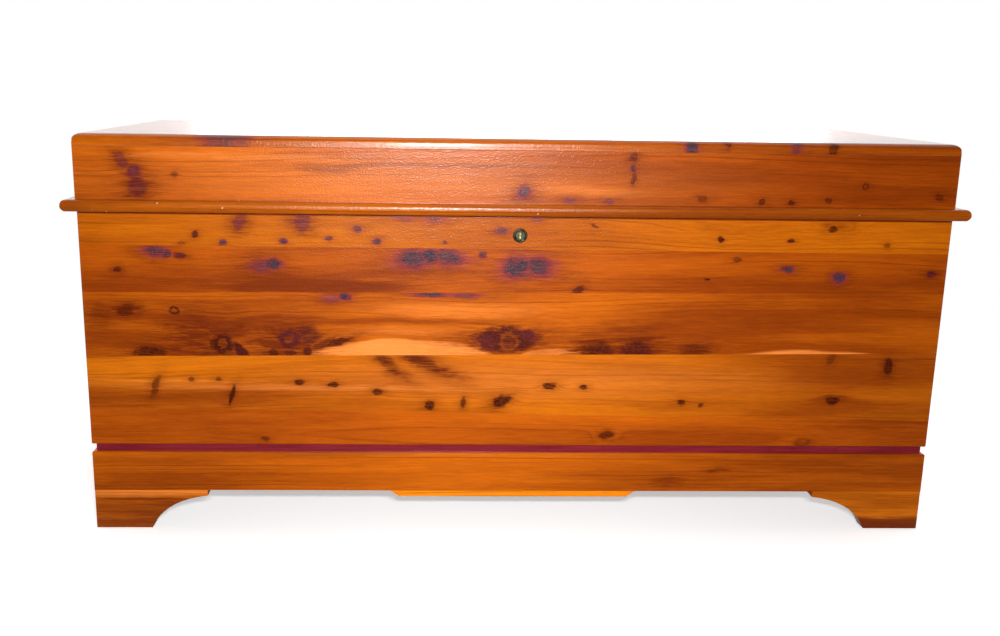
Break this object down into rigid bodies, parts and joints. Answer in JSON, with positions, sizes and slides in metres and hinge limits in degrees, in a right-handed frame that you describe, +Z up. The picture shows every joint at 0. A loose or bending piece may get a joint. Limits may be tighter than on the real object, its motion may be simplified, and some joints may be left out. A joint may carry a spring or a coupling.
{
  "type": "blanket chest",
  "caption": "Solid cedar blanket chest: board case on a low base with bracket feet, deep hinged lid with a moulding, round key lock and jointed stay.",
  "frame": {"origin": "on the floor under the middle of the whole chest", "axes": "+X to the chest's right along its length, +Y from the front to the hinged back, +Z up"},
  "size_m": [1.1928, 0.4658, 0.543],
  "materials": {
    "cedar_front": "knotty red cedar, amber gloss lacquer",
    "cedar_case": "red cedar, amber gloss lacquer",
    "cedar_lid": "red cedar, amber gloss lacquer",
    "cedar_base": "red cedar, amber gloss lacquer",
    "cedar_moulding": "moulded red cedar, amber gloss lacquer",
    "cedar_bare": "planed cedar, unfinished",
    "maroon_lacquer": "maroon lacquer",
    "brass": "satin brass",
    "lock_brass": "worn brass",
    "aged_bronze": "dark aged bronze",
    "steel": "zinc-plated steel"
  },
  "bodies": {
    "case": {"front_board_1": "cedar_front", "front_board_2": "cedar_front", "front_board_3": "cedar_front", "front_board_4": "cedar_front", "front_board_5": "cedar_front", "back_board_1": "cedar_case", "back_board_2": "cedar_case", "left_end_board_1": "cedar_case", "left_end_board_2": "cedar_case", "right_end_board_1": "cedar_case", "right_end_board_2": "cedar_case", "bottom_board_front": "cedar_bare", "bottom_board_back": "cedar_bare", "front_accent_strip": "maroon_lacquer", "right_accent_strip": "maroon_lacquer", "back_accent_strip": "maroon_lacquer", "left_accent_strip": "maroon_lacquer", "front_base_rail": "cedar_base", "right_base_rail": "cedar_base", "back_base_rail": "cedar_base", "left_base_rail": "cedar_base", "front_centre_drop": "cedar_base", "front_left_foot_face": "cedar_base", "front_left_foot_side": "cedar_base", "front_left_corner_block": "cedar_bare", "front_right_foot_face": "cedar_base", "front_right_foot_side": "cedar_base", "front_right_corner_block": "cedar_bare", "back_left_foot_face": "cedar_base", "back_left_foot_side": "cedar_base", "back_left_corner_block": "cedar_bare", "back_right_foot_face": "cedar_base", "back_right_foot_side": "cedar_base", "back_right_corner_block": "cedar_bare", "left_hinge_case_leaf": "brass", "left_hinge_pin": "brass", "right_hinge_case_leaf": "brass", "right_hinge_pin": "brass", "lock_housing": "aged_bronze", "lock_nut": "aged_bronze", "stay_case_bracket": "steel"},
    "lid": {"lid_top_board_1": "cedar_lid", "lid_top_board_2": "cedar_lid", "lid_top_board_3": "cedar_lid", "front_lid_rail": "cedar_front", "right_lid_rail": "cedar_lid", "back_lid_rail": "cedar_lid", "left_lid_rail": "cedar_lid", "front_moulding": "cedar_moulding", "left_moulding": "cedar_moulding", "right_moulding": "cedar_moulding", "left_hinge_lid_leaf": "brass", "right_hinge_lid_leaf": "brass", "lock_strike": "steel", "stay_lid_bracket": "steel"},
    "lock_cylinder": {"lock_plug": "lock_brass", "lock_cam": "steel"},
    "stay_lower": {"stay_lower_arm": "steel"},
    "stay_upper": {"stay_upper_arm": "steel"}
  },
  "joints": [
    {"name": "lid_hinge", "type": "hinge", "parent": "case", "child": "lid", "pos_m": [0, 0.22835, 0.448], "axis": [-1, 0, 0], "range_deg": [0, 95]},
    {"name": "stay_lower_pivot", "type": "hinge", "parent": "case", "child": "stay_lower", "pos_m": [0.5571, 0.06243, 0.411], "axis": [-1, 0, 0], "range_deg": [0, 95]},
    {"name": "stay_upper_pivot", "type": "hinge", "parent": "lid", "child": "stay_upper", "pos_m": [0.5537, 0.06265, 0.486], "axis": [-1, 0, 0], "range_deg": [-95, 0]},
    {"name": "lock_turn", "type": "hinge", "parent": "case", "child": "lock_cylinder", "pos_m": [0, -0.2, 0.4165], "axis": [0, 1, 0], "range_deg": [0, 90]}
  ],
  "couplings": [
    {"joint": "stay_lower_pivot", "follows": "lid_hinge", "ratio": 1},
    {"joint": "stay_upper_pivot", "follows": "lid_hinge", "ratio": -1}
  ]
}
